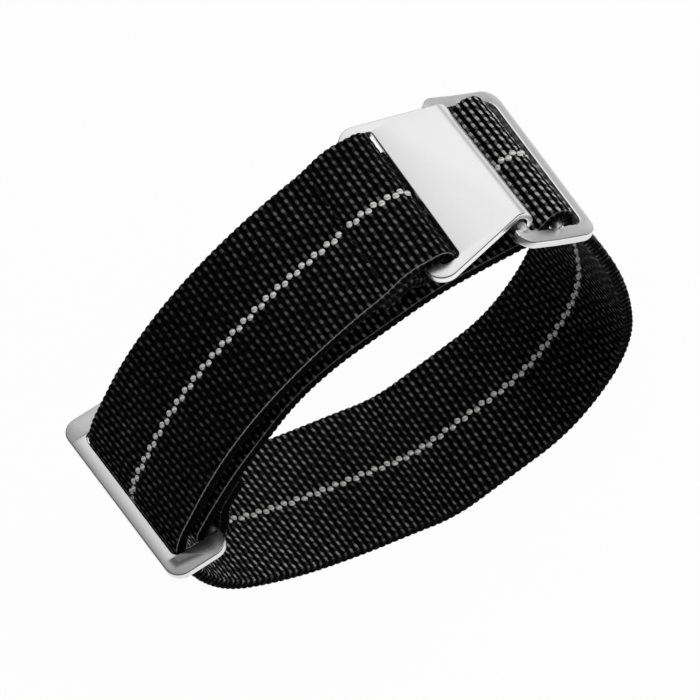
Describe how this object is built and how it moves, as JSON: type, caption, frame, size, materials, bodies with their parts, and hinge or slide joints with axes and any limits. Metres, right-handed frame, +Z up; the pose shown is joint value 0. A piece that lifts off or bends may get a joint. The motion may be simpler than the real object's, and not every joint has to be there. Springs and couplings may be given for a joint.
{
  "type": "nylon watch strap",
  "caption": "Elastic woven nylon watch strap in one length, closed in a loop by a flat steel hook plate and two sliding steel frames.",
  "frame": {"origin": "under the middle of the closed strap's overall length, on the surface that it stands on", "axes": "+X along the loop towards the catch frame, +Y across the webbing, +Z up"},
  "size_m": [0.0634, 0.0262, 0.0521],
  "materials": {
    "satin_steel": "fine bead-blasted satin",
    "black_webbing": "woven elastic nylon with cross ribs",
    "black_thread": "twisted polyester thread",
    "light_yarn": "undyed nylon yarn beads"
  },
  "bodies": {
    "band": {"lower_band": "black_webbing", "catch_run": "black_webbing", "inner_layer": "black_webbing", "end_fold": "black_webbing", "end_stitching": "black_thread", "band_stripe": "light_yarn", "outer_arm": "black_webbing", "arm_stripe": "light_yarn"},
    "clasp": {"hook_plate": "satin_steel", "hook_fold": "black_webbing", "hook_stitching": "black_thread", "hook_stripe": "light_yarn"},
    "catch": {"catch_frame": "satin_steel"},
    "end_link": {"end_frame": "satin_steel"}
  },
  "joints": [
    {"name": "clasp_tilt", "type": "hinge", "parent": "band", "child": "clasp", "pos_m": [0.02473, 0, 0.0451], "axis": [0, 1, 0], "range_deg": [0, 35], "deforming": ["outer_arm", "arm_stripe"]},
    {"name": "catch_rock", "type": "hinge", "parent": "band", "child": "catch", "pos_m": [0.0282, 0, 0.0415], "axis": [0, 1, 0], "range_deg": [-2.5, 2.5]},
    {"name": "end_rock", "type": "hinge", "parent": "band", "child": "end_link", "pos_m": [-0.02457, 0, 0.0322], "axis": [0, 1, 0], "range_deg": [0, 25]}
  ]
}
